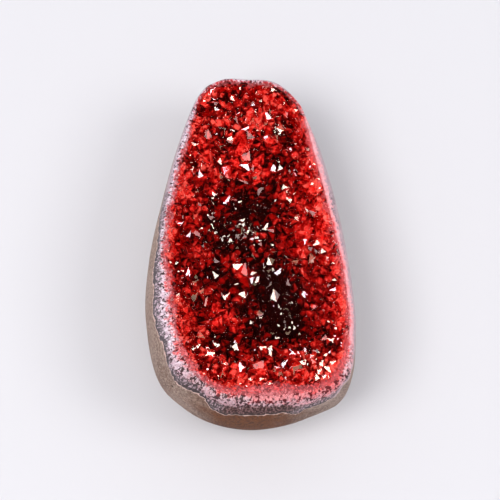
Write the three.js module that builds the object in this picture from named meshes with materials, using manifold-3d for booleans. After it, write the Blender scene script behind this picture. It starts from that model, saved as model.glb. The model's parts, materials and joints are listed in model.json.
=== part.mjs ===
// A crystal geode ground to a rounded, tapering hand piece that lies on its back.
//
// It has two pieces: the stone, a dark volcanic rind with a bowl in its upper face, and the
// crust of quartz crystals that lines the bowl. The stone is a stack of closed rings: a flat
// rest face, a rounded back, the girth, a polished rim, then the bowl's wall and floor. The
// crust is a sheet of six-sided cells over the bowl, and each cell rises to one quartz point.
//
// Millimetres, +Z up. The origin is at the middle of the rest face's plane, under the middle
// of the stone. +Y is the long axis, towards the narrow end, and +Z is the open face.

import * as THREE from 'three';
import Module from 'manifold-3d';

const wasm = await Module();
wasm.setup();
const { Manifold, Mesh: SolidMesh } = wasm;

// ---- Driving dimensions ------------------------------------------------------------------

// The girth, the widest line round the stone, seen from above and listed anticlockwise.
const GIRTH = [
  [-1.3, 39.9], [-7.9, 39.6], [-12.5, 35.4], [-16.6, 24.4], [-20.0, 11.2], [-22.7, -2.7],
  [-23.1, -15.7], [-19.9, -29.6], [-11.3, -37.2], [-0.3, -39.9], [11.2, -37.8], [21.0, -32.4],
  [23.1, -20.7], [22.3, -7.3], [20.0, 7.2], [16.6, 20.8], [12.1, 32.2], [6.2, 39.1],
];
// The mouth, the line where the polished rim meets the crystals, point for point inside it.
const MOUTH = [
  [-1.3, 37.8], [-7.0, 37.5], [-11.6, 33.8], [-14.8, 24.4], [-18.0, 11.3], [-20.0, -2.7],
  [-18.2, -15.5], [-15.3, -27.9], [-9.7, -34.2], [-0.3, -36.2], [10.9, -35.1], [18.6, -31.3],
  [20.9, -20.4], [19.9, -7.4], [17.0, 6.8], [14.0, 19.8], [10.9, 31.2], [5.0, 37.0],
];
const RIM_HEIGHT = 27; // above the rest face, at the middle of the length
const RIM_SLOPE = 0.045; // the narrow end is the thinner one
const GIRTH_SHARE = 0.55; // of the rim's height
const REST_SHARE = 0.6; // the rest face's outline, of the girth's
const SHOULDER_POWER = 2.6; // of the arc from girth to mouth: 2 is round, more is squarer
const BACK_POWER = 2.2; // of the arc from girth to rest face

const BOWL_MIDDLE = new THREE.Vector2(-0.3, -2.5);
const BOWL_DEPTH = 14; // below the rim, at its middle
const BOWL_POWER = 3.2; // more gives steeper walls and a flatter floor

const FIT_GAP = 0.3; // between the stone and the crust
const FLOOR_CRUST = 3.2; // the crust's thickness under the crystals, in the bowl's middle
const RIM_CRUST = 0.9; // and beside the rim
// Swellings and pits of the crust: x, y, radius and height.
const SWELLS = [
  [-1.3, 22.5, 5.5, 2.4], [3.7, 13.5, 4.0, 1.2], [-4.3, -7.5, 4.0, 1.8], [-7.8, -16.5, 4.5, 1.6],
  [12.7, 3.5, 4.5, 1.6], [3.7, -27.5, 5.0, 1.5], [-1.3, 2.5, 4.5, -1.8], [9.2, -18.0, 5.5, -2.6],
  [10.2, 28.5, 3.5, -1.2], [-11.8, -22.5, 3.5, -1.4],
];
const CELL = 2.9; // across one crystal's foot, on the floor of the bowl
const CORNER_SHIFT = 0.16; // how far a shared corner strays from the even grid, of a cell
const GRID_REACH = 1.22; // how far out the even grid goes, where the mouth is 1
const RIM_DRAW = 0.09; // how much the grid is then drawn in, most of all at the steep wall
const POINT_RISE = 0.55; // a crystal's pyramid, of a cell
const POINT_LEAN = 0.3; // how far a crystal leans, as a slope
const SUNK_FROM = 0.84; // crystals farther out are sunk to their shoulders
const SEED = 7;

const AROUND = 60; // points in a ring of the stone
const CRUST_AROUND = 40;
const BACK_STEPS = 6;
const SHOULDER_STEPS = 8;
const STONE_BOWL_RINGS = [0.95, 0.87, 0.76, 0.62, 0.45, 0.22]; // from the mouth inwards
const ROOM_RINGS = [0.25, 0.5, 0.68, 0.82, 0.92, 0.98]; // from the middle outwards

// ---- The forms that stone and crust share --------------------------------------------------

function closedCurve(points) {
  const corners = points.map(([x, y]) => new THREE.Vector3(x, y, 0));
  return new THREE.CatmullRomCurve3(corners, true, 'catmullrom', 0.5);
}

const girthCurve = closedCurve(GIRTH);
const mouthCurve = closedCurve(MOUTH);
const mouthPoints = mouthCurve.getPoints(360);

const rimHeight = (y) => RIM_HEIGHT - RIM_SLOPE * y;

// How far out a place in the bowl is: 0 at the bowl's middle, 1 at the mouth.
function outShare(x, y) {
  const dx = x - BOWL_MIDDLE.x;
  const dy = y - BOWL_MIDDLE.y;
  let best = -Infinity;
  let reach = 1;
  for (const mouth of mouthPoints) {
    const mx = mouth.x - BOWL_MIDDLE.x;
    const my = mouth.y - BOWL_MIDDLE.y;
    const along = (dx * mx + dy * my) / Math.hypot(mx, my);
    if (along > best) {
      best = along;
      reach = Math.hypot(mx, my);
    }
  }
  return Math.hypot(dx, dy) / reach;
}

function bowlHeight(x, y) {
  return rimHeight(y) - BOWL_DEPTH * (1 - outShare(x, y) ** BOWL_POWER);
}

// A point lifted off the bowl's surface, along its normal.
function lifted(x, y, height) {
  const step = 0.05;
  const slopeX = (bowlHeight(x + step, y) - bowlHeight(x - step, y)) / (2 * step);
  const slopeY = (bowlHeight(x, y + step) - bowlHeight(x, y - step)) / (2 * step);
  const normal = new THREE.Vector3(-slopeX, -slopeY, 1).normalize();
  return new THREE.Vector3(x, y, bowlHeight(x, y)).addScaledVector(normal, height);
}

// The places of one ring of the bowl.
function bowlRing(count, out, pointAt) {
  return ring(count, (around) => {
    const mouth = mouthCurve.getPoint(around);
    const x = THREE.MathUtils.lerp(BOWL_MIDDLE.x, mouth.x, out);
    const y = THREE.MathUtils.lerp(BOWL_MIDDLE.y, mouth.y, out);
    return pointAt(x, y);
  });
}

function ring(count, pointAt) {
  return Array.from({ length: count }, (_, i) => pointAt(i / count));
}

// A closed surface through a stack of rings of equal count, with a point closing each end.
function ringStack(rings, firstPole, lastPole) {
  const count = rings[0].length;
  const points = [...rings.flat(), firstPole, lastPole];
  const first = rings.length * count;
  const last = first + 1;
  const faces = [];
  for (let i = 0; i < count; i++) {
    const next = (i + 1) % count;
    faces.push([first, next, i]);
    for (let r = 0; r + 1 < rings.length; r++) {
      const low = r * count;
      const high = low + count;
      faces.push([low + i, low + next, high + next]);
      faces.push([low + i, high + next, high + i]);
    }
    const top = (rings.length - 1) * count;
    faces.push([last, top + i, top + next]);
  }
  return surface(points, faces);
}

function surface(points, faces) {
  const geometry = new THREE.BufferGeometry();
  const positions = points.flatMap((point) => point.toArray());
  geometry.setAttribute('position', new THREE.Float32BufferAttribute(positions, 3));
  geometry.setIndex(faces.flat());
  return geometry;
}

// ---- The stone ---------------------------------------------------------------------------

// A quarter of a squarish ellipse: [how far in, how far along], both 0 to 1.
function quarterArc(share, power) {
  const angle = share * Math.PI / 2;
  return [1 - Math.cos(angle) ** (2 / power), Math.sin(angle) ** (2 / power)];
}

// Between the girth and the rest face.
function backPoint(around, share) {
  const girth = girthCurve.getPoint(around);
  const [inward, down] = quarterArc(share, BACK_POWER);
  const scale = 1 - (1 - REST_SHARE) * inward;
  const height = rimHeight(girth.y) * GIRTH_SHARE * (1 - down);
  return new THREE.Vector3(girth.x * scale, girth.y * scale, height);
}

// Between the girth and the mouth: the side and the polished rim.
function shoulderPoint(around, share) {
  const girth = girthCurve.getPoint(around);
  const mouth = mouthCurve.getPoint(around);
  const [inward, up] = quarterArc(share, SHOULDER_POWER);
  const point = new THREE.Vector3().lerpVectors(girth, mouth, inward);
  const low = rimHeight(girth.y) * GIRTH_SHARE;
  point.z = THREE.MathUtils.lerp(low, rimHeight(mouth.y), up);
  return point;
}

function makeStone() {
  const rings = [];
  for (let i = BACK_STEPS; i > 0; i--) {
    rings.push(ring(AROUND, (around) => backPoint(around, i / BACK_STEPS)));
  }
  for (let i = 0; i <= SHOULDER_STEPS; i++) {
    rings.push(ring(AROUND, (around) => shoulderPoint(around, i / SHOULDER_STEPS)));
  }
  for (const out of STONE_BOWL_RINGS) {
    rings.push(bowlRing(AROUND, out, (x, y) => lifted(x, y, 0)));
  }
  const floor = lifted(BOWL_MIDDLE.x, BOWL_MIDDLE.y, 0);
  return ringStack(rings, new THREE.Vector3(0, 0, 0), floor);
}

// ---- The crust of quartz crystals ----------------------------------------------------------

// Repeatable numbers from 0 to 1.
function makeDice(seed) {
  let state = seed;
  return () => {
    state = (state * 1664525 + 1013904223) % 4294967296;
    return state / 4294967296;
  };
}

const dice = makeDice(SEED);
const between = (low, high) => low + (high - low) * dice();

// The crust's thickness at the valleys between its crystals.
function crustThickness(x, y) {
  let height = FLOOR_CRUST - RIM_CRUST;
  for (const [sx, sy, radius, rise] of SWELLS) {
    const away = ((x - sx) ** 2 + (y - sy) ** 2) / radius ** 2;
    height += rise * Math.exp(-away);
  }
  return RIM_CRUST + height * Math.max(0, 1 - outShare(x, y) ** 4);
}

// Moves a place of the even grid in towards the bowl's middle, most of all at the rim.
function drawnIn(x, y) {
  const share = 1 - RIM_DRAW * outShare(x, y) ** 3;
  return [
    THREE.MathUtils.lerp(BOWL_MIDDLE.x, x, share),
    THREE.MathUtils.lerp(BOWL_MIDDLE.y, y, share),
  ];
}

// The middles of the six-sided cells that cover the bowl and a little more.
function cellMiddles() {
  const middles = [];
  const rowStep = CELL * Math.sqrt(3) / 2;
  const reach = girthCurve.getPoint(0).y * GRID_REACH;
  const rows = Math.ceil(reach / rowStep);
  const columns = Math.ceil(reach / CELL);
  for (let row = -rows; row <= rows; row++) {
    for (let column = -columns; column <= columns; column++) {
      const x = BOWL_MIDDLE.x + (column + (row % 2) / 2) * CELL;
      const y = BOWL_MIDDLE.y + row * rowStep;
      if (outShare(x, y) < GRID_REACH) {
        middles.push([x, y]);
      }
    }
  }
  return middles;
}

// The crust's upper side: each cell is one crystal, and neighbours share their valley corners.
function crystalSheet() {
  const points = [];
  const faces = [];
  const corners = new Map();

  function cornerAt(x, y) {
    const column = Math.round((x - BOWL_MIDDLE.x) / (CELL / 2));
    const row = Math.round((y - BOWL_MIDDLE.y) / (CELL / 2 / Math.sqrt(3)));
    const key = `${column} ${row}`;
    if (!corners.has(key)) {
      const shift = CELL * CORNER_SHIFT;
      const [px, py] = drawnIn(x + between(-shift, shift), y + between(-shift, shift));
      corners.set(key, points.length);
      points.push(lifted(px, py, crustThickness(px, py) + between(-0.25, 0.2)));
    }
    return corners.get(key);
  }

  for (const [x, y] of cellMiddles()) {
    const foot = ring(6, (around) => {
      const angle = (around + 1 / 12) * 2 * Math.PI;
      const reach = CELL / Math.sqrt(3);
      return cornerAt(x + reach * Math.cos(angle), y + reach * Math.sin(angle));
    });
    growCrystal(points, faces, foot, x, y);
  }
  return closedBelow(points, faces);
}

// One quartz crystal on a six-cornered foot: a short prism with a pyramid on it.
function growCrystal(points, faces, foot, x, y) {
  const out = outShare(x, y);
  const size = THREE.MathUtils.clamp((1.08 - out) / 0.4, 0.4, 1) * between(0.75, 1.2);
  const pyramidRise = CELL * POINT_RISE * size;
  const prismRise = pyramidRise * between(0.25, 0.8);

  const [px, py] = drawnIn(x, y);
  const axis = lifted(px, py, 1).sub(lifted(px, py, 0));
  axis.x += between(-POINT_LEAN, POINT_LEAN);
  axis.y += between(-POINT_LEAN, POINT_LEAN);
  axis.normalize();

  const base = new THREE.Vector3();
  foot.forEach((index) => base.addScaledVector(points[index], 1 / 6));

  // The small crystals beside the rim are sunk to their shoulders and show only their points.
  const waist = between(0.7, 0.84);
  const shoulder = out > SUNK_FROM ? foot : foot.map((index) => {
    const spread = points[index].clone().sub(base).multiplyScalar(waist * between(0.9, 1.06));
    points.push(base.clone().add(spread).addScaledVector(axis, prismRise));
    return points.length - 1;
  });

  const tip = points.length;
  const strayX = between(-POINT_LEAN, POINT_LEAN);
  const strayY = between(-POINT_LEAN, POINT_LEAN);
  const tipPoint = base.clone().addScaledVector(axis, prismRise + pyramidRise);
  points.push(tipPoint.add(new THREE.Vector3(strayX, strayY, 0)));

  for (let i = 0; i < 6; i++) {
    const next = (i + 1) % 6;
    if (shoulder !== foot) {
      faces.push([foot[i], foot[next], shoulder[next]]);
      faces.push([foot[i], shoulder[next], shoulder[i]]);
    }
    faces.push([shoulder[i], shoulder[next], tip]);
  }
}

// Closes a sheet into a solid: walls hang from its open edges, down to the rest face's plane.
function closedBelow(points, faces) {
  const edges = new Set();
  for (const [a, b, c] of faces) {
    edges.add(`${a} ${b}`).add(`${b} ${c}`).add(`${c} ${a}`);
  }
  const below = new Map();
  function dropped(index) {
    if (!below.has(index)) {
      below.set(index, points.length);
      points.push(points[index].clone().setZ(0));
    }
    return below.get(index);
  }
  const middle = points.length;
  points.push(new THREE.Vector3(BOWL_MIDDLE.x, BOWL_MIDDLE.y, 0));
  for (const edge of edges) {
    const [a, b] = edge.split(' ').map(Number);
    if (!edges.has(`${b} ${a}`)) {
      const lowA = dropped(a);
      const lowB = dropped(b);
      faces.push([a, lowA, lowB], [a, lowB, b], [middle, lowB, lowA]);
    }
  }
  return surface(points, faces);
}

// The room inside the bowl, less the fit gap, closed by the plane that the rim was ground to.
function bowlRoom() {
  const rings = [];
  for (const out of ROOM_RINGS) {
    rings.push(bowlRing(CRUST_AROUND, out, (x, y) => lifted(x, y, FIT_GAP)));
  }
  const edge = rings[rings.length - 1];
  rings.push(edge.map((point) => point.clone().setZ(rimHeight(point.y))));
  const floor = lifted(BOWL_MIDDLE.x, BOWL_MIDDLE.y, FIT_GAP);
  return ringStack(rings, floor, floor.clone().setZ(rimHeight(floor.y)));
}

function solidOf(geometry) {
  return new Manifold(new SolidMesh({
    numProp: 3,
    vertProperties: new Float32Array(geometry.attributes.position.array),
    triVerts: new Uint32Array(geometry.index.array),
  }));
}

function makeCrust() {
  const grown = solidOf(crystalSheet()).intersect(solidOf(bowlRoom()));
  // The largest piece is the crust. The rest are crumbs cut off at the rim.
  const [crust] = grown.decompose().sort((a, b) => b.volume() - a.volume());
  const { vertProperties, triVerts } = crust.getMesh();
  const geometry = new THREE.BufferGeometry();
  geometry.setAttribute('position', new THREE.Float32BufferAttribute(vertProperties, 3));
  geometry.setIndex(new THREE.Uint32BufferAttribute(triVerts, 1));
  return geometry;
}

// ---- Assembly ------------------------------------------------------------------------------

function piece(name, geometry, finish) {
  geometry.computeVertexNormals();
  const mesh = new THREE.Mesh(geometry, new THREE.MeshStandardMaterial(finish));
  mesh.name = name;
  return mesh;
}

const geode = new THREE.Group();
geode.name = 'geode';
geode.add(
  piece('stone', makeStone(), { color: 0x8d7b6f, roughness: 0.4, metalness: 0 }),
  piece('crystal_crust', makeCrust(), { color: 0xb01210, roughness: 0.1, metalness: 0 }),
);

export default geode;
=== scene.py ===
# A crystal geode, ground and polished to a tapering hand piece, lying on its back with its bowl of
# red quartz crystals upwards. Metres, +Z up, +Y towards the narrow end.

import json
import math
import random

import bmesh
import bpy
import numpy as np
from mathutils import Matrix, Vector

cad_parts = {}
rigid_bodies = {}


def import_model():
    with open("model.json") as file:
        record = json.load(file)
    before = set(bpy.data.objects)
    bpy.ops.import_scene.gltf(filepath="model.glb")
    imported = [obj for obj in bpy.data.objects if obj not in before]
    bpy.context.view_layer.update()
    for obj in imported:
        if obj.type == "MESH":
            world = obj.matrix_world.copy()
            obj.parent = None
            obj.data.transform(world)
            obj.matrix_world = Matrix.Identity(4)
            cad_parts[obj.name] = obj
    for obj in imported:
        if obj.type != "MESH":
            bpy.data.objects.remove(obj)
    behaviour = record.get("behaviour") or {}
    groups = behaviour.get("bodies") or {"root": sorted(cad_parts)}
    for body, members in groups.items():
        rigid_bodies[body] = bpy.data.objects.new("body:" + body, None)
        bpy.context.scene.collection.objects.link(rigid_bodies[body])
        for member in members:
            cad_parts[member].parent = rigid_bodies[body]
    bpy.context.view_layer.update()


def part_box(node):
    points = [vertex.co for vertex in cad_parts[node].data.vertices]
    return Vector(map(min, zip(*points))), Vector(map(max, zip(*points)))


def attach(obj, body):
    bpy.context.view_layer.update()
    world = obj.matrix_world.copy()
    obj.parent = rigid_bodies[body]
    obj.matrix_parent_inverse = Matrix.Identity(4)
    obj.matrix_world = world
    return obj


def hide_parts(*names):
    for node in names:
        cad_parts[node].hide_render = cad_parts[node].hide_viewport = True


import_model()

MM = 0.001

# ---- The stone -----------------------------------------------------------------------------------
# One lump of volcanic rock, ground smooth all over and polished at the rim. Round its hollow it
# turns, layer by layer, from taupe rind to a pale line, grey agate and fine pale pink quartz.
# It grew in one piece, so it is one closed mesh with a hollow in its upper face.

# The girth and the mouth of the hollow, station by station from the narrow end, in millimetres.
GIRTH = [
    (-1.3, 39.9), (-7.9, 39.6), (-12.5, 35.4), (-16.6, 24.4), (-20.0, 11.2), (-22.7, -2.7),
    (-23.1, -15.7), (-19.9, -29.6), (-11.3, -37.2), (-0.3, -39.9), (11.2, -37.8), (21.0, -32.4),
    (23.1, -20.7), (22.3, -7.3), (20.0, 7.2), (16.6, 20.8), (12.1, 32.2), (6.2, 39.1),
]
MOUTH = [
    (-1.3, 37.8), (-7.0, 37.5), (-11.6, 33.8), (-14.8, 24.4), (-18.0, 11.3), (-20.0, -2.7),
    (-18.2, -15.5), (-15.3, -27.9), (-9.7, -34.2), (-0.3, -36.2), (10.9, -35.1), (18.6, -31.3),
    (20.9, -20.4), (19.9, -7.4), (17.0, 6.8), (14.0, 19.8), (10.9, 31.2), (5.0, 37.0),
]
# The layers round the mouth: the station, then how far past the mouth, in millimetres, the red
# ends, the pink ends, the grey agate begins and the pale line runs.
LAYERS = [
    (0.0, 0.0, 0.3, 1.3, 3.0), (1.0, 0.5, 0.8, 1.4, 3.0), (2.0, 0.6, 0.8, 1.4, 3.2),
    (2.4, -0.1, 0.2, 1.6, 3.6), (3.0, -0.4, -0.1, 2.0, 4.4), (4.0, -0.5, -0.1, 0.9, 4.0),
    (4.5, -0.5, -0.2, 0.6, 2.8), (5.0, -0.6, -0.1, 0.8, 2.0), (5.25, -0.7, 0.0, 0.9, 2.4),
    (5.5, -0.8, 0.0, 1.2, 3.5), (5.8, -0.6, 0.2, 2.0, 4.2), (6.05, -0.6, 0.6, 3.0, 5.4),
    (6.25, -0.5, 1.0, 3.2, 5.2), (6.6, -0.5, 0.6, 2.4, 3.8), (6.85, -0.7, 0.8, 2.8, 4.0),
    (7.1, -1.2, 0.3, 3.3, 5.0), (7.3, -1.4, -0.4, 3.3, 5.4), (7.5, -1.5, -0.6, 1.9, 4.8),
    (7.7, -1.3, -0.7, 1.5, 3.8), (7.85, -1.1, -0.5, 1.7, 3.2), (8.05, -0.9, -0.5, 2.3, 4.0),
    (8.25, -0.8, -0.1, 3.4, 7.0), (8.5, -0.9, 0.1, 3.5, 7.8), (8.7, -1.2, 0.1, 3.2, 6.7),
    (9.0, -2.0, 1.0, 2.6, 5.8), (9.3, -2.6, 1.3, 2.5, 5.9), (9.65, -2.6, 1.4, 2.7, 6.3),
    (9.85, -1.5, 1.7, 4.4, 8.6), (10.05, -1.0, 2.0, 4.5, 7.3), (10.4, -0.9, 2.2, 4.1, 6.6),
    (10.65, -0.9, 1.9, 3.3, 5.8), (10.85, -0.9, 1.4, 2.9, 4.3), (11.1, -0.9, 0.9, 2.8, 3.6),
    (11.5, -0.5, 0.3, 2.2, 3.4), (12.0, -0.2, 0.0, 1.2, 4.0), (13.0, -0.2, 0.0, 1.1, 4.2),
    (14.0, -0.1, 0.1, 1.2, 4.4), (15.0, -0.4, -0.1, 1.1, 4.2), (15.8, -0.7, -0.4, 1.0, 3.2),
    (16.2, 0.4, 0.6, 1.2, 3.0), (17.0, 0.4, 0.7, 1.2, 3.0), (17.5, 0.2, 0.5, 1.2, 3.0),
]
LAYER_NAMES = ("red_edge", "pink_edge", "agate_edge", "line_edge")

RIM_HEIGHT = 27.0  # mm above the rest face, at the middle of the length
RIM_SLOPE = 0.045  # the narrow end is the thinner one
GIRTH_SHARE = 0.55  # of the rim's height
REST_SHARE = 0.6  # the rest face's outline, of the girth's
SHOULDER_POWER = 2.6  # of the arc from girth to mouth: 2 is round, more is squarer
BACK_POWER = 2.2  # of the arc from girth to rest face
BOWL_MIDDLE = np.array([-0.3, -2.5])
BOWL_DEPTH = 14.0
BOWL_POWER = 3.2  # more gives steeper walls and a flatter floor
# Flats left by the grinding wheel: bearing and elevation in degrees, and how deep each is cut.
FLATS = [
    (-62, 12, 0.35), (-38, -6, 0.45), (-14, 22, 0.25), (24, -14, 0.4), (48, 10, 0.35),
    (78, -18, 0.3), (112, 14, 0.3), (150, -10, 0.35), (204, 12, 0.35), (238, -16, 0.3),
    (262, 20, 0.3), (-52, -34, 0.4), (14, -42, 0.4), (128, -40, 0.35), (222, -38, 0.4),
]

AROUND = 360  # points in a ring of the stone
STATIONS = len(MOUTH)
BACK_RINGS = 22
SHOULDER_RINGS = 48
SHOULDER_CROWDING = 0.8  # below 1, the shoulder's rings crowd towards the mouth
BOWL_SHARES = np.linspace(0.985, 0.05, 26)  # the bowl's rings, as shares of the way to the mouth
SLOPE_STEP = 0.05  # mm to each side, where the bowl's slope is measured


def closed_curve(points, count):
    """Evenly timed points on the closed Catmull-Rom curve through the given ones."""
    points = np.array(points, float)
    times = np.arange(count) * len(points) / count
    start = np.floor(times).astype(int)
    along = (times - start)[:, None]
    before, here, after, later = (points[(start + i) % len(points)] for i in (-1, 0, 1, 2))
    leaving = (after - before) / 2
    arriving = (later - here) / 2
    bend = 3 * (after - here) - 2 * leaving - arriving
    twist = 2 * (here - after) + leaving + arriving
    return here + leaving * along + bend * along**2 + twist * along**3


def rim_height(y):
    return RIM_HEIGHT - RIM_SLOPE * y


mouth_curve = closed_curve(MOUTH, AROUND)
mouth_curve = np.vstack([mouth_curve, mouth_curve[:1]])
mouth_stations = np.arange(AROUND + 1) * STATIONS / AROUND
mouth_reach = np.linalg.norm(mouth_curve - BOWL_MIDDLE, axis=1)
mouth_turn = np.unwrap(np.arctan2(*(mouth_curve - BOWL_MIDDLE).T[::-1]))
mouth_length = np.append(0, np.cumsum(np.linalg.norm(np.diff(mouth_curve, axis=0), axis=1)))


def from_middle(places):
    """For each place in the bowl: how far out it is, 1 at the mouth; the mouth's reach; the station."""
    x, y = (places - BOWL_MIDDLE).T
    turn = mouth_turn[0] + (np.arctan2(y, x) - mouth_turn[0]) % math.tau
    reach = np.interp(turn, mouth_turn, mouth_reach)
    return np.hypot(x, y) / reach, reach, np.interp(turn, mouth_turn, mouth_stations)


def out_share(places):
    return from_middle(places)[0]


def bowl_height(places):
    return rim_height(places[:, 1]) - BOWL_DEPTH * (1 - out_share(places) ** BOWL_POWER)


def lifted(places, height):
    """Points at a height over the bowl's surface, along its normal."""
    slopes = [
        (bowl_height(places + way) - bowl_height(places - way)) / (2 * SLOPE_STEP)
        for way in np.eye(2) * SLOPE_STEP
    ]
    normals = np.stack([-slopes[0], -slopes[1], np.ones(len(places))], axis=1)
    normals /= np.linalg.norm(normals, axis=1)[:, None]
    return np.column_stack([places, bowl_height(places)]) + normals * np.reshape(height, (-1, 1))


def bowl_places(out):
    """The places of one ring of the bowl, at a share of the way out to the mouth."""
    return BOWL_MIDDLE + (closed_curve(MOUTH, AROUND) - BOWL_MIDDLE) * out


def quarter_arc(share, power):
    """A quarter of a squarish ellipse: how far in, and how far along, both 0 to 1."""
    angle = share * math.pi / 2
    return 1 - math.cos(angle) ** (2 / power), math.sin(angle) ** (2 / power)


def layer_edges(stations):
    """The four layer edges at each station round the mouth, in millimetres past it."""
    known, *edges = np.array(LAYERS).T
    return [np.interp(stations, known, edge, period=STATIONS) for edge in edges]


def ring_mesh(name, rings, first_pole, last_pole):
    """A closed mesh through rings of equal count, in millimetres, with a point at each end."""
    count = len(rings[0])
    points = np.vstack([*rings, first_pole, last_pole]) * MM
    first = len(rings) * count
    faces = []
    for i in range(count):
        j = (i + 1) % count
        faces.append((first, j, i))
        for low in range(0, first - count, count):
            faces.append((low + i, low + j, low + count + j, low + count + i))
        faces.append((first + 1, first - count + i, first - count + j))
    mesh = bpy.data.meshes.new(name)
    mesh.from_pydata(points.tolist(), [], faces)
    return mesh


def set_values(mesh, name, values):
    attribute = mesh.attributes.new(name, "FLOAT", "POINT")
    attribute.data.foreach_set("value", np.asarray(values, np.float32))


def direction(azimuth, elevation):
    """The way from the object to something seen at that bearing. Azimuth 0 is on the -Y side."""
    a, e = math.radians(azimuth), math.radians(elevation)
    return Vector((math.sin(a) * math.cos(e), -math.cos(a) * math.cos(e), math.sin(e)))


def grind_flats(rings):
    """Presses each ring's points back to the planes of the ground flats, and into the stone's box."""
    points = np.vstack(rings)
    for azimuth, elevation, cut in FLATS:
        way = np.array(direction(azimuth, elevation))
        height = points @ way
        proud = np.clip(height - (height.max() - cut), 0, None)
        points -= proud[:, None] * way
    low, high = np.array(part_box("stone")) / MM
    return np.split(np.clip(points, low, high), len(rings))


def ground_rings():
    """The rings of the stone's outside, from the rest face over the girth to the mouth."""
    girth = closed_curve(GIRTH, AROUND)
    mouth = closed_curve(MOUTH, AROUND)
    girth_height = rim_height(girth[:, 1]) * GIRTH_SHARE
    rings = []
    for share in np.linspace(1, 0, BACK_RINGS, endpoint=False):
        inward, down = quarter_arc(share, BACK_POWER)
        outline = girth * (1 - (1 - REST_SHARE) * inward)
        rings.append(np.column_stack([outline, girth_height * (1 - down)]))
    for share in np.linspace(0, 1, SHOULDER_RINGS) ** SHOULDER_CROWDING:
        inward, up = quarter_arc(share, SHOULDER_POWER)
        height = girth_height + (rim_height(mouth[:, 1]) - girth_height) * up
        rings.append(np.column_stack([girth + (mouth - girth) * inward, height]))
    return grind_flats(rings)


def make_stone():
    outside = ground_rings()
    rings = outside + [lifted(bowl_places(out), 0) for out in BOWL_SHARES]

    # How far each point lies past the mouth, along the surface. In the bowl it is negative.
    steps = [np.linalg.norm(b - a, axis=1) for a, b in zip(outside[:-1], outside[1:])]
    past = [np.sum(steps[i:], axis=0) for i in range(len(steps))]
    past.append(np.zeros(AROUND))
    past.extend((out - 1) * mouth_reach[:-1] for out in BOWL_SHARES)

    mesh = ring_mesh("stone_ground", rings, (0, 0, 0), lifted(BOWL_MIDDLE[None], 0)[0])
    set_values(mesh, "past_mouth", [*np.ravel(past), past[0].mean(), -mouth_reach.mean()])
    layers = dict(zip(LAYER_NAMES, layer_edges(mouth_stations[:-1])))
    for name, values in {**layers, "round_mouth": mouth_length[:-1]}.items():
        set_values(mesh, name, [*np.tile(values, len(rings)), values.mean(), values.mean()])
    for face in mesh.polygons:
        face.use_smooth = True
    return mesh


def add_piece(name, mesh):
    piece = bpy.data.objects.new(name, mesh)
    bpy.context.scene.collection.objects.link(piece)
    return piece


def new_material(name):
    """A material with its shader, ready for more nodes."""
    material = bpy.data.materials.new(name)
    material.use_nodes = True
    nodes = material.node_tree.nodes
    return material, nodes["Principled BSDF"], nodes["Material Output"]


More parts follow.
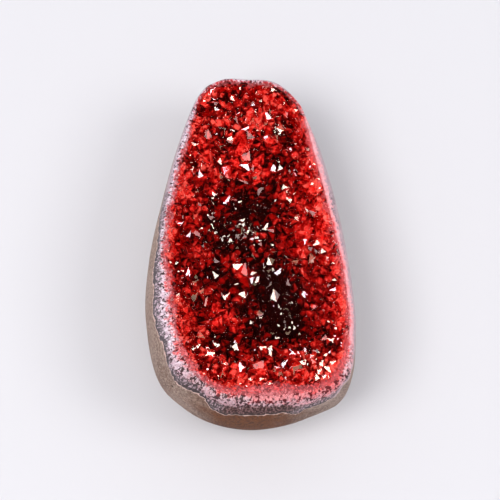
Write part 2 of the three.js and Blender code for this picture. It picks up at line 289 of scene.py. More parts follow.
class Nodes:
    """Short calls that add nodes to one tree and link what they are given."""

    # Places are in metres, so a scale is a number of lumps or grains in a metre.

    def __init__(self, tree):
        self.tree = tree

    def add(self, kind, *, out=0, inputs=None, **settings):
        node = self.tree.nodes.new(kind)
        for key, value in settings.items():
            setattr(node, key, value)
        for key, value in (inputs or {}).items():
            self.put(node.inputs[key], value)
        return node.outputs[out]

    def put(self, socket, value):
        if isinstance(value, bpy.types.NodeSocket):
            self.tree.links.new(value, socket)
        else:
            socket.default_value = value

    def value(self, name):
        return self.add("ShaderNodeAttribute", out="Fac", attribute_name=name)

    def place(self):
        return self.add("ShaderNodeTexCoord", out="Object")

    def split(self, vector):
        outputs = self.add("ShaderNodeSeparateXYZ", inputs={0: vector}).node.outputs
        return outputs["X"], outputs["Y"], outputs["Z"]

    def math(self, operation, a, b=0.0):
        return self.add("ShaderNodeMath", operation=operation, inputs={0: a, 1: b})

    def plus(self, a, b):
        return self.math("ADD", a, b)

    def minus(self, a, b):
        return self.math("SUBTRACT", a, b)

    def times(self, a, b):
        return self.math("MULTIPLY", a, b)

    def ramp(self, value, low, high, to_low=0.0, to_high=1.0):
        """Carries a value from one range to another, with soft ends."""
        inputs = {
            "Value": value, "From Min": low, "From Max": high, "To Min": to_low, "To Max": to_high,
        }
        return self.add("ShaderNodeMapRange", interpolation_type="SMOOTHSTEP", inputs=inputs)

    def noise(self, scale, detail=2.0, roughness=0.5):
        inputs = {"Vector": self.place(), "Scale": scale, "Detail": detail, "Roughness": roughness}
        return self.add("ShaderNodeTexNoise", inputs=inputs)

    def wander(self, scale, reach, detail=3.0, roughness=0.5):
        """Noise of both signs, about as large as its reach."""
        return self.times(self.minus(self.noise(scale, detail, roughness), 0.5), 2 * reach)

    def across_edge(self, stretch, wander=0.0):
        """Places along and across the mouth's edge, so that patterns are drawn out as quartz grows."""
        round_edge = self.times(self.value("round_mouth"), MM)
        across = self.times(self.value("past_mouth"), MM * stretch)
        if wander:
            round_edge = self.plus(round_edge, self.wander(1500, wander))
            across = self.plus(across, self.wander(1300, wander))
        return self.add("ShaderNodeCombineXYZ", inputs={"X": round_edge, "Y": across})

    def fibres(self, scale, stretch=0.35):
        inputs = {"Vector": self.across_edge(stretch), "Scale": scale, "Detail": 2.0, "Roughness": 0.6}
        return self.add("ShaderNodeTexNoise", inputs=inputs)

    def grains(self, scale, stretch=0.6):
        """A random value, 0 to 1, for each of many small grains."""
        inputs = {"Vector": self.across_edge(stretch, 0.5 * MM), "Scale": scale}
        return self.split(self.add("ShaderNodeTexVoronoi", out="Color", inputs=inputs))[0]

    def lumps(self, scale):
        """A random value, 0 to 1, for each of many lumps, and the distance from its middle."""
        inputs = {"Vector": self.place(), "Scale": scale}
        node = self.add("ShaderNodeTexVoronoi", inputs=inputs).node
        return self.split(node.outputs["Color"])[0], node.outputs["Distance"]

    def pits(self, scale, reach, bare=0.4):
        """1 inside pits of uneven size, 0 outside. A share of the lumps stays bare."""
        chance, distance = self.lumps(scale)
        radius = self.times(self.minus(chance, bare), reach / (1 - bare))
        return self.ramp(self.minus(distance, radius), -0.02, 0.02, 1.0, 0.0)

    def scratches(self, scale, stretch=0.08):
        """Noise in fine streaks along the length, as a grinding belt leaves them."""
        x, y, z = self.split(self.place())
        streaks = {"X": x, "Y": self.times(y, stretch), "Z": z}
        place = self.add("ShaderNodeCombineXYZ", inputs=streaks)
        return self.add("ShaderNodeTexNoise", inputs={"Vector": place, "Scale": scale, "Detail": 2.0})

    def mix(self, share, a, b, blend_type="MIX"):
        inputs = {0: share, 6: a, 7: b}
        return self.add("ShaderNodeMix", out=2, data_type="RGBA", blend_type=blend_type, inputs=inputs)

    def bump(self, height, distance, strength=1.0):
        inputs = {"Height": height, "Distance": distance, "Strength": strength}
        return self.add("ShaderNodeBump", out="Normal", inputs=inputs)


RIND = (0.260, 0.165, 0.130, 1)
RIND_BROWN = (0.130, 0.038, 0.014, 1)
RIND_PALE_AND_LIT = (0.450, 0.330, 0.278, 1)
RIND_CLOUD = (0.140, 0.092, 0.074, 1)
RIND_SAND = (0.480, 0.370, 0.300, 1)
RIND_SPECK_AND_PIT_SHADE = (0.060, 0.034, 0.024, 1)
# Painted shade and warm bounce light, for the middle of the broad end.
WARM_BOUNCE_SHADE = (0.470, 0.200, 0.060, 1)
PALE_LINE = (0.680, 0.470, 0.410, 1)
AGATE = (0.250, 0.200, 0.215, 1)
AGATE_BROWN = (0.088, 0.038, 0.032, 1)
AGATE_DARK = (0.024, 0.020, 0.022, 1)
AGATE_UMBER = (0.034, 0.014, 0.013, 1)
AGATE_PALE = (0.580, 0.410, 0.440, 1)
AGATE_BAND = (0.460, 0.335, 0.375, 1)
MAUVE = (0.275, 0.138, 0.138, 1)
LAVENDER = (0.740, 0.535, 0.615, 1)
PALE_PINK = (0.860, 0.400, 0.430, 1)
DUSTY_PINK = (0.470, 0.225, 0.235, 1)
PINK = (0.760, 0.235, 0.245, 1)
CORAL = (0.860, 0.070, 0.070, 1)
RED = (0.480, 0.012, 0.015, 1)
WHITE_GRAIN = (0.880, 0.740, 0.800, 1)
GREY_GAP_SHADE = (0.060, 0.026, 0.030, 1)
MAGENTA_SHADE = (0.130, 0.008, 0.012, 1)

BAND_PITCH = 0.62  # mm from one pale band of the agate to the next
ROCK_IOR = 1.54
ROCK_SPECULAR = 0.1
POLISHED = 0.42  # roughness of the agate and the fine quartz
GROUND_MATT = 0.62  # roughness of the rind
GRAIN_DEPTH = 0.1 * MM


def quartz_color(make, past):
    """Fine quartz round the mouth: red, then pink, then pale, with white grains, and painted shade in
    the gaps and holes between them.
    """
    x, y, _ = make.split(make.place())
    side = make.plus(x, make.wander(200, 0.010))
    along = make.plus(y, make.wander(200, 0.006))
    # On the right the layer is finer, and its edges are more even.
    even = make.times(make.ramp(side, 0.004, 0.015), make.ramp(along, -0.031, -0.022))
    rough = make.ramp(even, 0.0, 1.0, 1.0, 0.15)
    wandering = make.plus(make.wander(480, 2.0), make.wander(1400, 1.6))
    wandering = make.times(wandering, make.ramp(even, 0.0, 1.0, 1.0, 0.35))
    ragged = make.plus(past, wandering)
    to_pink = make.minus(ragged, make.value("pink_edge"))
    to_red = make.minus(ragged, make.value("red_edge"))

    # The pale layer is lavender on the left, pink on the right and dusty at the broad end.
    pale = make.mix(make.ramp(side, -0.004, 0.012), LAVENDER, PALE_PINK)
    off_right = make.ramp(side, 0.006, 0.013, 1.0, 0.2)
    dusty = make.times(make.ramp(along, -0.024, -0.034, 0.0, 0.8), off_right)
    pale = make.mix(dusty, pale, DUSTY_PINK)
    pink = make.mix(make.ramp(to_red, 0.2, 2.0), CORAL, PINK)
    color = make.mix(make.ramp(to_pink, -0.5, 0.7), pink, pale)
    color = make.mix(make.ramp(to_red, -0.7, 0.4), RED, color)

    # White grains are scattered all through it, and the gaps and small holes between them are darkened
    # as painted shade.
    gap_shade = make.mix(make.ramp(to_pink, -0.2, 0.8), MAGENTA_SHADE, GREY_GAP_SHADE)
    grain = make.plus(make.grains(3200), make.wander(2600, 0.5))
    in_pale = make.ramp(to_pink, -1.0, 0.6, 0.25, 0.9)
    in_pale = make.times(in_pale, make.ramp(along, -0.034, -0.022, 0.30, 1.0))
    light = make.times(make.ramp(grain, 0.60, 0.78), in_pale)
    clusters = make.ramp(make.noise(700), 0.46, 0.56)
    holes = make.times(clusters, make.ramp(along, -0.034, -0.026, 0.54, 0.34))
    dark = make.ramp(make.minus(grain, holes), 0.05, 0.17, 1.0, 0.0)
    dark = make.math("MAXIMUM", dark, make.ramp(make.noise(3000, 2, 0.6), 0.38, 0.56, 0.38, 0.0))
    color = make.mix(make.times(light, rough), color, WHITE_GRAIN)
    return make.mix(make.times(dark, rough), color, gap_shade)


def rind_color(make, side, along):
    """Cloudy taupe rock with fine sandy grain, lighter towards the narrow end and, as painted light, on
    the right flank. At the middle of the broad end it is tinted brown as painted shade and warm bounce
    light.
    """
    # Painted shade and warm bounce light: the middle of the broad end is tinted brown, with more dark
    # specks.
    middle = make.ramp(make.math("ABSOLUTE", side), 0.005, 0.017, 1.0, 0.0)
    brown = make.times(make.ramp(along, -0.030, -0.036, 0.0, 0.95), middle)
    # Lighter towards the narrow end, and on the right flank as painted light.
    light = make.math("MAXIMUM", make.ramp(along, -0.022, 0.0), make.ramp(side, 0.010, 0.019))
    rind = make.mix(make.times(light, 0.7), RIND, RIND_PALE_AND_LIT)
    rind = make.mix(make.ramp(make.noise(110, 4, 0.6), 0.42, 0.60, 0.0, 0.60), rind, RIND_CLOUD)
    rind = make.mix(make.ramp(make.noise(50, 3), 0.50, 0.62, 0.0, 0.30), rind, RIND_BROWN)
    rind = make.mix(make.ramp(make.noise(1900, 3, 0.7), 0.44, 0.60, 0.0, 0.7), rind, RIND_SAND)
    rind = make.mix(make.ramp(make.scratches(2400), 0.56, 0.66, 0.0, 0.35), rind, RIND_SAND)
    specks = make.ramp(make.noise(2300, 3, 0.7), 0.53, 0.64)
    specks = make.times(specks, make.ramp(brown, 0.0, 1.0, 0.55, 0.90))
    rind = make.mix(specks, rind, RIND_SPECK_AND_PIT_SHADE)
    # The painted shade and warm bounce light, multiplied over the rock.
    return make.mix(brown, rind, WARM_BOUNCE_SHADE, blend_type="MULTIPLY")


def agate_color(make, side, along, past, to_line):
    """Grey agate, mottled and darkest against the pale line, and in faint pale bands elsewhere."""
    mottle = make.plus(make.times(make.noise(2600, 2, 0.6), 0.5), make.times(make.fibres(2600), 0.5))
    mottle = make.plus(mottle, make.ramp(to_line, -1.2, -0.4, 0.0, 0.13))
    off_middle = make.math("ABSOLUTE", make.minus(side, 0.002))
    broad_end = make.ramp(along, -0.026, -0.034)
    brown = make.times(broad_end, make.ramp(off_middle, 0.006, 0.011, 1.0, 0.40))
    agate = make.mix(brown, AGATE, AGATE_BROWN)
    light = make.ramp(mottle, 0.42, 0.50, 0.8, 0.0)
    agate = make.mix(light, agate, make.mix(brown, LAVENDER, MAUVE))
    dark = make.times(make.ramp(mottle, 0.46, 0.56), make.ramp(brown, 0.0, 1.0, 0.7, 1.0))
    agate = make.mix(dark, agate, make.mix(brown, AGATE_DARK, AGATE_UMBER))

    # Thin bands follow the edge of the mouth, as the agate was laid down.
    turns = make.times(make.plus(past, make.wander(90, 1.5)), math.tau / BAND_PITCH)
    bands = make.plus(make.math("SINE", turns), make.wander(500, 4.0))
    banded = make.mix(make.ramp(bands, -0.9, 1.1), AGATE_PALE, AGATE_BAND)
    banded = make.mix(make.ramp(mottle, 0.52, 0.62, 0.0, 0.35), banded, AGATE)
    at_narrow_end = make.ramp(along, 0.002, 0.016)
    at_right = make.ramp(side, 0.0155, 0.0195)
    return make.mix(make.math("MAXIMUM", at_narrow_end, at_right), agate, banded)


def stone_material():
    material, shader, _ = new_material("ground_geode_rock")
    make = Nodes(material.node_tree)
    x, y, _ = make.split(make.place())
    side = make.plus(x, make.wander(160, 0.008))
    along = make.plus(y, make.wander(160, 0.008))
    past = make.plus(make.value("past_mouth"), make.wander(420, 0.45))
    ragged = make.plus(past, make.wander(1300, 2.2, 3, 0.7))
    to_agate = make.minus(ragged, make.value("agate_edge"))
    wavy = make.plus(past, make.plus(make.wander(1700, 0.4), make.wander(520, 1.3)))
    to_line = make.minus(wavy, make.value("line_edge"))

    in_rind = make.ramp(to_line, -0.2, 0.2)
    # Small dented pits in the rind, darkened with the speck colour as painted shade.
    pits = make.times(make.pits(240, 0.12), in_rind)
    rind = make.mix(pits, rind_color(make, side, along), RIND_SPECK_AND_PIT_SHADE)
    agate = agate_color(make, side, along, past, to_line)
    color = make.mix(make.ramp(to_agate, -0.5, 0.35), quartz_color(make, past), agate)
    color = make.mix(make.ramp(to_line, -0.26, -0.12), color, PALE_LINE)
    color = make.mix(make.ramp(to_line, 0.02, 0.14), color, rind)
    make.put(shader.inputs["Base Color"], color)

    sand = make.noise(1900, 3, 0.7)
    roughness = make.add("ShaderNodeMix", inputs={0: in_rind, 2: POLISHED, 3: GROUND_MATT})
    roughness = make.plus(roughness, make.ramp(sand, 0.3, 0.7, -0.06, 0.08))
    make.put(shader.inputs["Roughness"], roughness)
    height = make.plus(make.times(sand, 0.5), make.noise(900, 2))
    height = make.minus(height, make.times(pits, 2.0))
    make.put(shader.inputs["Normal"], make.bump(height, GRAIN_DEPTH, 0.7))
    shader.inputs["IOR"].default_value = ROCK_IOR
    shader.inputs["Specular IOR Level"].default_value = ROCK_SPECULAR
    return material


stone = add_piece("stone_ground", make_stone())
stone.data.materials.append(stone_material())
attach(stone, "root")
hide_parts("stone")

# ---- The crystals --------------------------------------------------------------------------------
# A crust of clear red quartz that grew inwards from the hollow's wall: hundreds of six-sided
# points, large on the floor and fine beside the rim. They are all grown together into one body.
# Under them are their own milky roots, and round them is a fringe of fine sugary quartz.

WALL_GAP = 0.01  # mm between the stone and the crust
FLOOR_CRUST = 3.2  # mm of crust under the crystals, in the bowl's middle
RIM_CRUST = 0.3  # and beside the rim
THIN_CRUST = 0.05  # the least crust anywhere
CRUST_POWER = 4  # more keeps the crust thick for longer on its way to the rim
EDGE_COVER = 0.25  # mm of milky quartz over the clear quartz, outside the red's edge
EDGE_FADE = 0.8  # mm into the red where that cover ends
ROOT_COVER = 0.5  # mm of clear quartz over the milky roots
ROOT_COVER_FROM = 0.3  # mm into the red where it begins
ROOT_COVER_FADE = 2.0  # and how much further in it is full
GROUND_OFF = 0.45  # mm of the highest points ground away with the rim
POINTS_SUNK = 0.1  # mm from the crust's top down to the surface that the points stand on
GROUND_SHARES = np.linspace(0.03, 1, 90)  # that surface's rings, as shares of the way to the mouth
CRUST_SHARES = np.linspace(0.06, 1, 45)  # and the crust's own rings
# Swellings and pits of the crust: x, y, radius and height, in millimetres.
SWELLS = [
    (-1.3, 22.5, 5.5, 2.4), (3.7, 13.5, 4.0, 1.2), (-4.3, -7.5, 4.0, 1.8), (-7.8, -16.5, 4.5, 1.6),
    (12.7, 3.5, 4.5, 1.6), (3.7, -27.5, 5.0, 1.5), (-1.3, 2.5, 4.5, -1.8), (9.2, -18.0, 5.5, -2.6),
    (10.2, 28.5, 3.5, -1.2), (-11.8, -22.5, 3.5, -1.4),
]
SWELL_VIGOUR = 0.28  # how much larger the points are on a swelling, for each millimetre of it
LEAST_VIGOUR = 0.75


def humps(places, listed):
    """The sum at each place of soft round humps, each given as x, y, radius and height."""
    return sum(
        rise * np.exp(-np.sum((places - (x, y)) ** 2, axis=1) / radius**2)
        for x, y, radius, rise in listed
    )


def crust_thickness(places):
    inward = np.clip(1 - out_share(places) ** CRUST_POWER, 0, None)
    return RIM_CRUST + (FLOOR_CRUST - RIM_CRUST + humps(places, SWELLS)) * inward


def past_mouth(places):
    """How far past the mouth each place in the bowl lies, in millimetres, and its station."""
    out, reach, stations = from_middle(places)
    return (out - 1) * reach, stations


def into_red(places):
    """How far inside the red's edge each place lies, in millimetres."""
    past, stations = past_mouth(places)
    return layer_edges(stations)[0] - past


def make_ground():
    """The surface that the crystals stand on: a disc of rings from the middle to the mouth."""
    places = np.vstack([BOWL_MIDDLE[None], *(bowl_places(out) for out in GROUND_SHARES)])
    points = lifted(places, crust_thickness(places) - POINTS_SUNK)
    faces = [(0, 1 + i, 1 + (i + 1) % AROUND) for i in range(AROUND)]
    for low in range(1, len(places) - AROUND, AROUND):
        for i in range(AROUND):
            j = (i + 1) % AROUND
            faces.append((low + i, low + AROUND + i, low + AROUND + j, low + j))
    mesh = bpy.data.meshes.new("crystal_ground")
    mesh.from_pydata((points * MM).tolist(), [], faces)
    set_values(mesh, "into_red", into_red(places))
    set_values(mesh, "room", rim_height(points[:, 1]) - points[:, 2])
    set_values(mesh, "vigour", 1 + SWELL_VIGOUR * humps(places, SWELLS))
    return mesh


# Each face of a quartz point gets a random level of painted light and shade, as if its faces caught the
# light differently.
SLAB_FACE_LIGHTING = 0.5  # 0 is the darkest face of a quartz point and 1 the brightest


def make_slab(cover):
    """The crust under the points, from the bowl's wall to its own top less a cover at each place."""
    under = [lifted(bowl_places(out), WALL_GAP) for out in CRUST_SHARES]
    over = []
    for out in [*CRUST_SHARES[::-1], 0]:
        places = bowl_places(out)
        height = crust_thickness(places) - cover(places)
        over.append(lifted(places, np.maximum(height, WALL_GAP + THIN_CRUST)))
    lowest = lifted(BOWL_MIDDLE[None], WALL_GAP)[0]
    mesh = ring_mesh("slab", [*under, *over[:-1]], lowest, over[-1][0])
    face_lighting = mesh.attributes.new("face_lighting", "FLOAT", "FACE")
    face_lighting.data.foreach_set("value", np.full(len(mesh.polygons), SLAB_FACE_LIGHTING, np.float32))
    return mesh


def clear_cover(places):
    """The clear quartz starts where the red does. Outside it, the milky quartz covers it."""
    return EDGE_COVER * np.clip(1 - into_red(places) / EDGE_FADE, 0, 1)


def milky_cover(places):
    """The milky quartz is bare outside the red, and has clear quartz over it inside."""
    return ROOT_COVER * np.clip((into_red(places) - ROOT_COVER_FROM) / ROOT_COVER_FADE, 0, 1)


def make_room():
    """The room inside the hollow, closed by the plane that the rim was ground to."""
    rings = [lifted(bowl_places(out), WALL_GAP) for out in CRUST_SHARES]
    edge = rings[-1].copy()
    edge[:, 2] = rim_height(edge[:, 1])
    lowest = lifted(BOWL_MIDDLE[None], WALL_GAP)[0]
    roof = lowest.copy()
    roof[2] = rim_height(lowest[1])
    return ring_mesh("crust_room", [*rings, edge], lowest, roof)


# A quartz point's proportions, in radii. Those in brackets are the least and most of a range.
POINT_SIDES = 6
POINT_SQUASH = (0.75, 1.0)  # thickness, of the width
POINT_TWIST = (-0.12, 0.12)  # how far a corner strays round the point, in sides
POINT_REACH = (0.85, 1.15)  # from the middle to a corner
POINT_TAPER = 0.85  # width at the root, of the width at the shoulder
POINT_ROOT = 1.5  # depth of the root
POINT_SHOULDER = (0.0, 0.25)  # height of a corner of the shoulder
POINT_STEP = 0.35  # and how much higher every second corner is
POINT_LEAN = (-0.3, 0.3)  # how far the tip is off the middle
POINT_TIP = (1.15, 1.6)  # height of the tip
POINT_HEIGHT = 1.25  # height that is allowed for under the rim


def quartz_point(name, dice):
    """One six-sided prism with an uneven tip, about 1 in radius, and a random level of painted light
    and shade for each of its faces.
    """
    mesh = bpy.data.meshes.new(name)
    build = bmesh.new()
    face_lighting = build.faces.layers.float.new("face_lighting")
    low, high = [], []
    squash = dice.uniform(*POINT_SQUASH)
    for i in range(POINT_SIDES):
        angle = (i + dice.uniform(*POINT_TWIST)) * math.tau / POINT_SIDES
        reach = dice.uniform(*POINT_REACH)
        x, y = reach * math.cos(angle), reach * math.sin(angle) * squash
        low.append(build.verts.new((x * POINT_TAPER, y * POINT_TAPER, -POINT_ROOT)))
        high.append(build.verts.new((x, y, dice.uniform(*POINT_SHOULDER) + POINT_STEP * (i % 2))))
    lean_x, lean_y = dice.uniform(*POINT_LEAN), dice.uniform(*POINT_LEAN)
    top = build.verts.new((lean_x, lean_y, dice.uniform(*POINT_TIP)))
    for i in range(POINT_SIDES):
        j = (i + 1) % POINT_SIDES
        build.faces.new((low[i], low[j], high[j], high[i]))
        build.faces.new((high[i], high[j], top))
    build.faces.new(low[::-1])
    for face in build.faces:
        face[face_lighting] = dice.random()
    bmesh.ops.triangulate(build, faces=build.faces[:])
    build.to_mesh(mesh)
    build.free()
    return mesh


SHAPES = 18  # different quartz points
GROUND_VALUES = ("into_red", "room", "vigour")
# The inputs of each kind of point. Spacing, least size and spread are in metres, and lean is in
# radians. Then come three distances in millimetres into the red: where the points begin, where
# they are all there and where they reach full size. The last is their share of it at the edge.
GROWTH_SIZES = (
    "Spacing", "Size", "Size Spread", "Lean", "Red From", "Red To", "Full Size At", "Rim Size",
)
MOST_POINTS = 1e7  # in a square metre: the spacing is what thins them


def add_growth_sockets(tree):
    """The growth tree's named inputs, and its one output."""
    inputs = {
        "Ground": "Geometry", "Slab": "Object", "Room": "Object", "Points": "Collection",
        "Material": "Material",
    }
    inputs.update({f"{kind} {name}": "Float" for kind in ("Large", "Small") for name in GROWTH_SIZES})
    inputs["Seed"] = "Int"
    for name, kind in inputs.items():
        tree.interface.new_socket(name, in_out="INPUT", socket_type="NodeSocket" + kind)
    tree.interface.new_socket("Crust", in_out="OUTPUT", socket_type="NodeSocketGeometry")


class Scatter:
    """One kind of quartz point over the ground, turned and sized by the growth tree's inputs."""

    def __init__(self, make, given, kind, salt):
        self.make = make
        self.given = given
        self.salt = salt
        self.size = {name: given[f"{kind} {name}"] for name in GROWTH_SIZES}
        self.into_red, self.room, self.vigour = (
            make.add("GeometryNodeInputNamedAttribute", inputs={"Name": name}) for name in GROUND_VALUES
        )

    def seed(self, extra):
        return self.make.plus(self.given["Seed"], self.salt + extra)

    def random_value(self, low, high, extra):
        inputs = {2: low, 3: high, "Seed": self.seed(extra)}
        return self.make.add("FunctionNodeRandomValue", out=1, inputs=inputs)

    def turn(self, upright):
        """Leans each point by chance, and turns it by chance about itself."""
        lean = self.size["Lean"]
        less = self.make.times(lean, -1.0)
        tilt = self.make.add("ShaderNodeCombineXYZ", inputs={
            "X": self.random_value(less, lean, 1), "Y": self.random_value(less, lean, 2),
            "Z": self.random_value(0.0, math.tau, 3),
        })
        return self.make.add("FunctionNodeRotateRotation", rotation_space="LOCAL", inputs={
            "Rotation": upright,
            "Rotate By": self.make.add("FunctionNodeEulerToRotation", inputs={0: tilt}),
        })

    def scale(self):
        """Sizes grow from the rim inwards, are more often small than large, and fit under the rim."""
        make, size = self.make, self.size
        chance = self.random_value(0.0, 1.0, 5)
        larger = make.times(make.times(chance, chance), size["Size Spread"])
        grown = make.add("ShaderNodeMapRange", inputs={
            "Value": self.into_red, "From Min": 0.0, "From Max": size["Full Size At"],
            "To Min": size["Rim Size"],
        })
        scale = make.times(make.plus(size["Size"], larger), grown)
        scale = make.times(scale, make.math("MAXIMUM", self.vigour, LEAST_VIGOUR))
        fits = make.times(make.plus(self.room, GROUND_OFF), MM / POINT_HEIGHT)
        return make.math("MINIMUM", scale, fits)

    def points(self):
        share = self.make.add("ShaderNodeMapRange", inputs={
            "Value": self.into_red, "From Min": self.size["Red From"], "From Max": self.size["Red To"],
        })
        spread = self.make.add(
            "GeometryNodeDistributePointsOnFaces", distribute_method="POISSON", inputs={
                "Mesh": self.given["Ground"], "Distance Min": self.size["Spacing"],
                "Density Max": MOST_POINTS, "Density Factor": share, "Seed": self.seed(0),
            },
        ).node.outputs
        shapes = self.make.add("GeometryNodeCollectionInfo", inputs={
            "Collection": self.given["Points"], "Separate Children": True, "Reset Children": True,
        })
        index = self.make.add("FunctionNodeRandomValue", out=2, data_type="INT", inputs={
            4: 0, 5: SHAPES - 1, "Seed": self.seed(4),
        })
        return self.make.add("GeometryNodeInstanceOnPoints", inputs={
            "Points": spread["Points"], "Instance": shapes, "Pick Instance": True,
            "Instance Index": index, "Rotation": self.turn(spread["Rotation"]), "Scale": self.scale(),
        })


def growth_tree():
    """Scatters quartz points over the ground, joins them with the slab and cuts them to the room."""
    tree = bpy.data.node_groups.new("grow_quartz", "GeometryNodeTree")
    add_growth_sockets(tree)
    make = Nodes(tree)
    given = tree.nodes.new("NodeGroupInput").outputs

    def body(name):
        return make.add("GeometryNodeObjectInfo", out="Geometry", inputs={"Object": given[name]})

    def joined(operation, *shapes):
        solver = make.add("GeometryNodeMeshBoolean", operation=operation, solver="MANIFOLD").node
        for shape in shapes:
            tree.links.new(shape, solver.inputs["Mesh 2"])
        return solver.outputs["Mesh"]

    large = Scatter(make, given, "Large", 10).points()
    small = Scatter(make, given, "Small", 20).points()
    crust = joined("INTERSECT", joined("UNION", body("Slab"), large, small), body("Room"))
    real = make.add("GeometryNodeRealizeInstances", inputs={0: crust})
    flat = make.add("GeometryNodeSetShadeSmooth", inputs={0: real, "Shade Smooth": False})
    done = make.add("GeometryNodeSetMaterial", inputs={0: flat, "Material": given["Material"]})
    make.put(tree.nodes.new("NodeGroupOutput").inputs["Crust"], done)
    return tree


def keep_largest(mesh):
    """Deletes all but the largest connected shell of a mesh."""
    build = bmesh.new()
    build.from_mesh(mesh)
    unseen = set(build.verts)
    shells = []
    while unseen:
        shell, front = set(), [unseen.pop()]
        while front:
            vert = front.pop()
            shell.add(vert)
            for edge in vert.link_edges:
                other = edge.other_vert(vert)
                if other in unseen:
                    unseen.remove(other)
                    front.append(other)
        shells.append(shell)
    shells.sort(key=len)
    stray = [vert for shell in shells[:-1] for vert in shell]
    bmesh.ops.delete(build, geom=stray, context="VERTS")
    build.to_mesh(mesh)
    build.free()


def set_layers(mesh):
    """Gives every point of a mesh in the bowl its place among the layers round the mouth."""
    flat = np.empty(len(mesh.vertices) * 3)
    mesh.vertices.foreach_get("co", flat)
    points = flat.reshape(-1, 3) / MM
    past, stations = past_mouth(points[:, :2])
    set_values(mesh, "past_mouth", past)
    for name, edge in zip(LAYER_NAMES, layer_edges(stations)):
        set_values(mesh, name, edge)
    set_values(mesh, "round_mouth", np.interp(stations, mouth_stations, mouth_length))
    return points[:, :2], points[:, 2]


# Colours of the milky roots from darkest to brightest. Which one shows is set mostly by painted light
# and shade.
ROOT_DARK = (0.018, 0.0005, 0.0005, 1)
ROOT_RED = (0.370, 0.004, 0.003, 1)
ROOT_BRIGHT = (0.900, 0.042, 0.032, 1)
ROOT_GLOW = (1.000, 0.160, 0.120, 1)
SUGAR_LIT_FACE = (1.000, 0.260, 0.270, 1)
QUARTZ_IOR = 1.544
QUARTZ_ROUGHNESS = 0.03
QUARTZ_TINT = (0.94, 0.03, 0.03, 1)
QUARTZ_ABSORPTION = 1300.0  # in a metre
MILKY_SPECULAR = 0.03
ROOTS_MATT = 0.7  # roughness of the milky roots
SUGAR_SHEEN = 0.3  # roughness of the sugary fringe


def quartz_material():
    material, shader, output = new_material("clear_red_quartz")
    shader.inputs["Base Color"].default_value = (1, 1, 1, 1)
    shader.inputs["Roughness"].default_value = QUARTZ_ROUGHNESS
    shader.inputs["IOR"].default_value = QUARTZ_IOR
    shader.inputs["Transmission Weight"].default_value = 1.0
    make = Nodes(material.node_tree)
    inside = make.add("ShaderNodeVolumeAbsorption", inputs={
        "Color": QUARTZ_TINT, "Density": QUARTZ_ABSORPTION,
    })
    make.put(output.inputs["Volume"], inside)
    return material


def milky_material():
    """Milky quartz: red faces in the crystals, made dark and bright by painted shade and light, sugary
    and pale at the rim.
    """
    material, shader, _ = new_material("milky_quartz")
    make = Nodes(material.node_tree)
    face_lighting = make.value("face_lighting")
    patch, _ = make.lumps(400)

    # The roots' level of painted light and shade: uneven from face to face, and dim in the depths of
    # the crust.
    level = make.plus(face_lighting, make.times(patch, 0.60))
    level = make.plus(level, make.wander(1700, 0.9, 2, 0.6))
    level = make.minus(make.times(level, make.value("light_and_tint")), 0.56)
    # Painted shade in scattered dark clusters and in the crevices at the points' roots, and painted
    # light at their tips.
    level = make.minus(level, make.ramp(make.noise(620), 0.36, 0.48, 0.35, 0.0))
    level = make.plus(level, make.ramp(make.value("stand"), 0.0, 1.4, -0.25, 0.15))
    level = make.plus(level, make.ramp(patch, 0.70, 0.95, -0.03, 0.30))
    roots = make.mix(make.ramp(level, -0.2, 0.4), ROOT_DARK, ROOT_RED)
    roots = make.mix(make.ramp(level, 0.40, 0.85), roots, ROOT_BRIGHT)
    roots = make.mix(make.ramp(level, 0.95, 1.20), roots, ROOT_GLOW)

    past = make.value("past_mouth")
    to_red = make.minus(make.plus(past, make.wander(600, 2.4)), make.value("red_edge"))
    # The sugary faces are darkened or lightened by their random level, as painted shade and painted
    # light.
    sugar = make.mix(make.ramp(face_lighting, 0.0, 0.30, 0.4, 0.0), quartz_color(make, past), MAGENTA_SHADE)
    sugar = make.mix(make.ramp(face_lighting, 0.45, 1.0, 0.20, 0.55), sugar, SUGAR_LIT_FACE)
    color = make.mix(make.ramp(to_red, -1.0, -0.2), roots, sugar)
    make.put(shader.inputs["Base Color"], color)
    roughness = make.ramp(to_red, -1.2, -0.3, ROOTS_MATT, SUGAR_SHEEN)
    make.put(shader.inputs["Roughness"], roughness)
    shader.inputs["IOR"].default_value = QUARTZ_IOR
    shader.inputs["Specular IOR Level"].default_value = MILKY_SPECULAR
    return material


dice = random.Random(4)
quartz_points = bpy.data.collections.new("quartz_points")
for i in range(SHAPES):
    shape = f"point_{i}"
    quartz_points.objects.link(bpy.data.objects.new(shape, quartz_point(shape, dice)))
ground = add_piece("crystal_ground", make_ground())
room = add_piece("crust_room", make_room())
tree = growth_tree()

# The clear points and their milky cores grow from the same seed, so each core lies in its point.
SEED = 5
CORE = 0.86  # size of a milky core, of its clear point
CLEAR_LARGE = (1.85 * MM, 0.98 * MM, 0.70 * MM, 0.8, 0.0, 0.8, 4.0, 0.5)
CLEAR_SMALL = (1.00 * MM, 0.50 * MM, 0.30 * MM, 0.9, -0.6, -0.1, 3.0, 0.8)
MILKY_LARGE = (1.85 * MM, 0.98 * MM * CORE, 0.70 * MM * CORE, 0.8, 0.0, 0.8, 4.0, 0.5)
MILKY_SMALL = (0.75 * MM, 0.36 * MM, 0.34 * MM, 0.9, 1.4, 0.3, 6.0, 1.0)


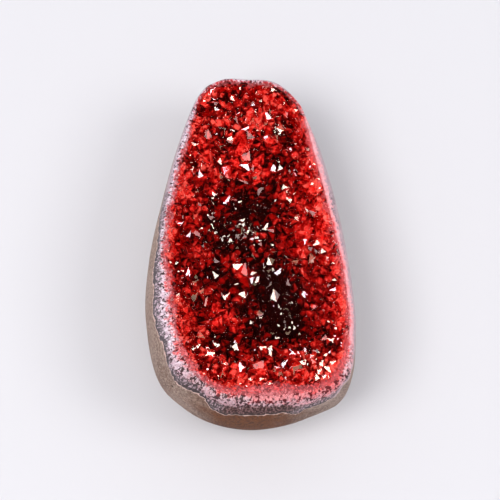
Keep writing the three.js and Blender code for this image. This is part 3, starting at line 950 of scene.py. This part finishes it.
def grow(name, cover, material, large, small):
    """Runs the growth tree with the given sizes and gives back its mesh."""
    slab = add_piece(name + "_slab", make_slab(cover))
    inputs = {
        "Slab": slab, "Room": room, "Points": quartz_points, "Material": material, "Seed": SEED,
    }
    for kind, sizes in (("Large", large), ("Small", small)):
        inputs.update({f"{kind} {size}": value for size, value in zip(GROWTH_SIZES, sizes)})
    growth = ground.modifiers.new("growth", "NODES")
    growth.node_group = tree
    for socket in tree.interface.items_tree:
        if socket.name in inputs:
            growth[socket.identifier] = inputs[socket.name]
    grown = ground.evaluated_get(bpy.context.evaluated_depsgraph_get())
    mesh = bpy.data.meshes.new_from_object(grown)
    mesh.name = name
    ground.modifiers.remove(growth)
    bpy.data.objects.remove(slab)
    keep_largest(mesh)
    return mesh


clear = grow("crystal_crust_fine", clear_cover, quartz_material(), CLEAR_LARGE, CLEAR_SMALL)
milky = grow("milky_quartz", milky_cover, milky_material(), MILKY_LARGE, MILKY_SMALL)
for helper in (ground, room, *quartz_points.objects):
    bpy.data.objects.remove(helper)

# How bright the milky roots are, as painted light and shade, and where the red is deeper or brighter:
# x, y, radius and change.
GLOW_MIDDLE = 0.74
# Painted light: the roots grow brighter towards the rim, where the thin walls are lit.
GLOW_RIM = 0.77  # added at the rim
GLOW_POWER = 3  # more keeps what is added closer to the rim
# Patches painted darker as shade over the pits and brighter as light on the swellings, partly the red's
# own unevenness.
SHADE_LIGHT_AND_TINT_PATCHES = [
    (-9.0, 16.5, 4.0, -0.20), (1.5, 9.5, 4.0, -0.26), (-9.0, 5.0, 5.0, -0.30),
    (-9.0, -7.0, 4.0, -0.38), (4.5, -6.0, 4.0, -0.48), (9.0, -17.0, 6.0, -0.66),
    (-4.5, -21.0, 3.5, -0.42), (9.0, 21.5, 3.5, -0.22), (-5.0, 34.5, 2.5, -0.34),
    (13.0, 4.0, 4.0, -0.10), (-14.5, 20.0, 2.5, -0.30), (-17.0, -3.0, 3.0, -0.02),
    (17.5, -21.0, 3.0, -0.20), (-1.5, 29.0, 3.5, 0.18), (-2.0, 22.0, 4.0, 0.36),
    (1.0, 18.0, 3.0, 0.40), (-14.0, 11.0, 3.0, 0.30), (14.0, 14.5, 3.0, 0.14),
    (-5.5, -15.0, 3.5, 0.38), (18.5, -10.5, 3.0, 0.02), (2.0, -29.0, 4.0, 0.06),
    (1.0, 34.0, 5.0, -0.20), (1.0, -13.0, 9.0, -0.07),
]

milky_places, milky_heights = set_layers(milky)
crust_top = lifted(milky_places, crust_thickness(milky_places))[:, 2]
set_values(milky, "stand", milky_heights - crust_top)
towards_rim = np.clip(out_share(milky_places), 0, 1) ** GLOW_POWER
light_and_tint = GLOW_MIDDLE + GLOW_RIM * towards_rim + humps(milky_places, SHADE_LIGHT_AND_TINT_PATCHES)
set_values(milky, "light_and_tint", light_and_tint)
for name, mesh in (("crystal_crust_fine", clear), ("milky_quartz", milky)):
    piece = add_piece(name, mesh)
    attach(piece, "root")
    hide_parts("crystal_crust")

# ---- Floor, light and camera ---------------------------------------------------------------------
# A plain pale floor under two soft lamps and a pale sky, seen from 71 degrees above and 12 to the
# left. Small lamps and soft panels that only show as reflections put the glints on the crystals.

FLOOR_REACH = 3.0
FLOOR_GREY = (0.718, 0.700, 0.712, 1)
FLOOR_MATT = 0.9

corners = [(x * FLOOR_REACH, y * FLOOR_REACH, 0) for x, y in ((-1, -1), (1, -1), (1, 1), (-1, 1))]
floor_mesh = bpy.data.meshes.new("floor")
floor_mesh.from_pydata(corners, [], [(0, 1, 2, 3)])
floor = add_piece("floor", floor_mesh)
floor_material, floor_shader, _ = new_material("pale_floor")
floor_shader.inputs["Base Color"].default_value = FLOOR_GREY
floor_shader.inputs["Roughness"].default_value = FLOOR_MATT
floor_shader.inputs["Specular IOR Level"].default_value = 0.0
floor.data.materials.append(floor_material)

AIM = Vector((0, 0, 15 * MM))


def facing(place, aim, up=Vector((0, 1, 0))):
    """A matrix at a place, looking at the aim, with up kept upright."""
    back = (place - aim).normalized()
    upright = (up - back * up.dot(back)).normalized()
    right = upright.cross(back)
    matrix = Matrix((right, upright, back)).transposed().to_4x4()
    matrix.translation = place
    return matrix


def add_lamp(name, azimuth, elevation, *, away, size, radiance, color=(1, 1, 1), glints_only=False):
    lamp = bpy.data.lights.new(name, "AREA")
    lamp.color = color
    lamp.size = size
    lamp.energy = radiance * math.pi * size**2
    holder = bpy.data.objects.new(name, lamp)
    holder.matrix_world = facing(AIM + direction(azimuth, elevation) * away, AIM)
    holder.visible_glossy = glints_only
    holder.visible_transmission = not glints_only
    holder.visible_diffuse = not glints_only
    bpy.context.scene.collection.objects.link(holder)


add_lamp("window", -60, 60, away=1.2, size=0.55, radiance=8.6)
add_lamp("fill", 80, 50, away=1.2, size=0.5, radiance=5.4)

SPARK_WARM = (1.0, 0.92, 0.80)
SPARK_COOL = (0.98, 0.88, 1.0)
SPARK = {"away": 1.0, "size": 0.22, "radiance": 26.0, "glints_only": True}
SPARKS = [
    (-90, 54, SPARK_WARM), (60, 38, SPARK_COOL), (-42, 54, SPARK_WARM), (-24, 66, SPARK_WARM),
    (102, 34, SPARK_WARM), (-24, 26, SPARK_COOL), (36, 78, SPARK_WARM), (-156, 62, SPARK_WARM),
    (-114, 18, SPARK_COOL),
]
for i, (azimuth, elevation, color) in enumerate(SPARKS):
    add_lamp(f"spark_{i}", azimuth, elevation, color=color, **SPARK)

PANEL_TAN = (1.0, 0.72, 0.50)
PANEL_ROSE = (1.0, 0.74, 0.72)
PANEL = {"away": 1.0, "size": 0.34, "glints_only": True}
PANELS = [
    (-35, 62, 4.0, PANEL_TAN), (40, 66, 4.0, PANEL_TAN), (180, 75, 6.0, PANEL_ROSE),
    (75, 58, 6.0, PANEL_ROSE),
]
for i, (azimuth, elevation, radiance, color) in enumerate(PANELS):
    add_lamp(f"panel_{i}", azimuth, elevation, radiance=radiance, color=color, **PANEL)

SKY = (0.9, 0.92, 1.0, 1)
SKY_STRENGTH = 0.66
world = bpy.data.worlds.new("studio")
bpy.context.scene.world = world
world.use_nodes = True
sky = world.node_tree.nodes["Background"]
sky.inputs["Color"].default_value = SKY
sky.inputs["Strength"].default_value = SKY_STRENGTH
world.cycles_visibility.glossy = False
world.cycles_visibility.transmission = False

CAMERA_AZIMUTH = -12
CAMERA_ELEVATION = 71
CAMERA_AWAY = 0.52
CAMERA_ASIDE = Vector((0.09, 1.30, 0)) * MM  # rightwards and upwards, to centre the stone's outline
SENSOR_WIDTH = 36
VIEW_WIDTH = 0.1126  # metres across the frame, at the aim's distance
camera_data = bpy.data.cameras.new("camera")
camera_data.sensor_width = SENSOR_WIDTH
camera_data.lens = SENSOR_WIDTH * CAMERA_AWAY / VIEW_WIDTH
camera_data.clip_start = 0.01
camera = bpy.data.objects.new("camera", camera_data)
bpy.context.scene.collection.objects.link(camera)
camera_place = AIM + direction(CAMERA_AZIMUTH, CAMERA_ELEVATION) * CAMERA_AWAY
camera.matrix_world = facing(camera_place, AIM)
camera.matrix_world.translation += camera.matrix_world.to_3x3() @ CAMERA_ASIDE
bpy.context.scene.camera = camera

bpy.context.scene.view_settings.view_transform = "Standard"
